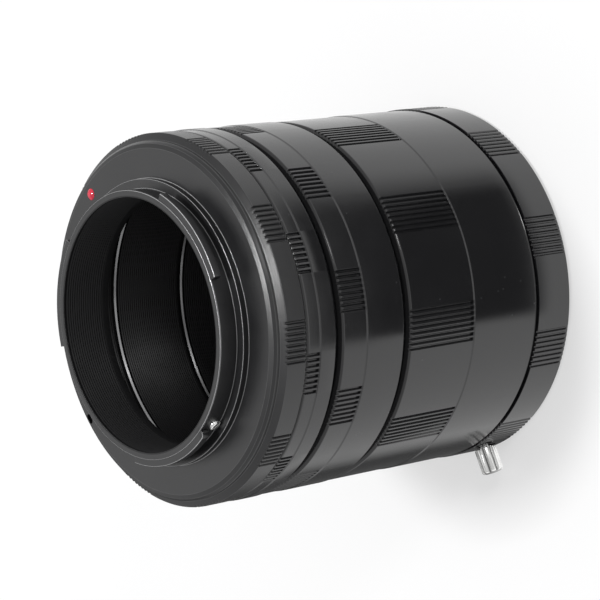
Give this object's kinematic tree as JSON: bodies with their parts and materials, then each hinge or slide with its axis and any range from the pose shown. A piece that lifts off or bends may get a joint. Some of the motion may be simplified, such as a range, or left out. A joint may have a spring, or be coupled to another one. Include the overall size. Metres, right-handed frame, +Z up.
{
  "type": "macro extension tube",
  "caption": "Screw-together extension rings stacked between a male camera bayonet and a female lens bayonet with a sprung lens lock.",
  "frame": {"origin": "on the optical axis, in the plane that the lens flange seats on", "axes": "+Z up the optical axis towards the camera, +X through the camera index bead"},
  "size_m": [0.0644, 0.0606, 0.0668],
  "materials": {
    "anodised_satin": "black anodised, satin",
    "anodised_gloss": "black anodised, semi-gloss",
    "bright_steel": "bright plated",
    "pin_steel": "turned",
    "spring_steel": "plain spring steel",
    "black_steel": "blackened",
    "red_enamel": "gloss"
  },
  "bodies": {
    "lens_mount": {"lens_ring": "anodised_gloss", "bayonet_plate": "anodised_satin", "plate_screw_1": "black_steel", "plate_screw_2": "black_steel", "plate_screw_3": "black_steel", "plate_screw_4": "black_steel", "leaf_spring_1": "spring_steel", "leaf_spring_2": "spring_steel", "leaf_spring_3": "spring_steel", "lens_index_bead": "red_enamel", "lock_spring": "spring_steel"},
    "lens_lock": {"lock_pin": "pin_steel", "release_post": "bright_steel"},
    "tube_28": {"tube_28": "anodised_gloss"},
    "tube_14": {"tube_14": "anodised_gloss"},
    "tube_7": {"tube_7": "anodised_gloss"},
    "camera_mount": {"camera_mount": "anodised_satin", "camera_index_bead": "red_enamel", "stop_screw": "bright_steel"}
  },
  "joints": [
    {"name": "lens_lock_slide", "type": "slide", "parent": "lens_mount", "child": "lens_lock", "axis": [0, 0, 1], "range_m": [-0.0015, 0.0005], "stiffness_N_per_m": 150, "springref_m": -0.004, "deforming": ["lock_spring"]},
    {"name": "tube_28_unscrew", "type": "slide", "parent": "lens_mount", "child": "tube_28", "axis": [0, 0, 1], "range_m": [0, 0.012]},
    {"name": "tube_14_unscrew", "type": "slide", "parent": "tube_28", "child": "tube_14", "axis": [0, 0, 1], "range_m": [0, 0.012]},
    {"name": "tube_7_unscrew", "type": "slide", "parent": "tube_14", "child": "tube_7", "axis": [0, 0, 1], "range_m": [0, 0.012]},
    {"name": "camera_mount_unscrew", "type": "slide", "parent": "tube_7", "child": "camera_mount", "axis": [0, 0, 1], "range_m": [0, 0.012]}
  ]
}
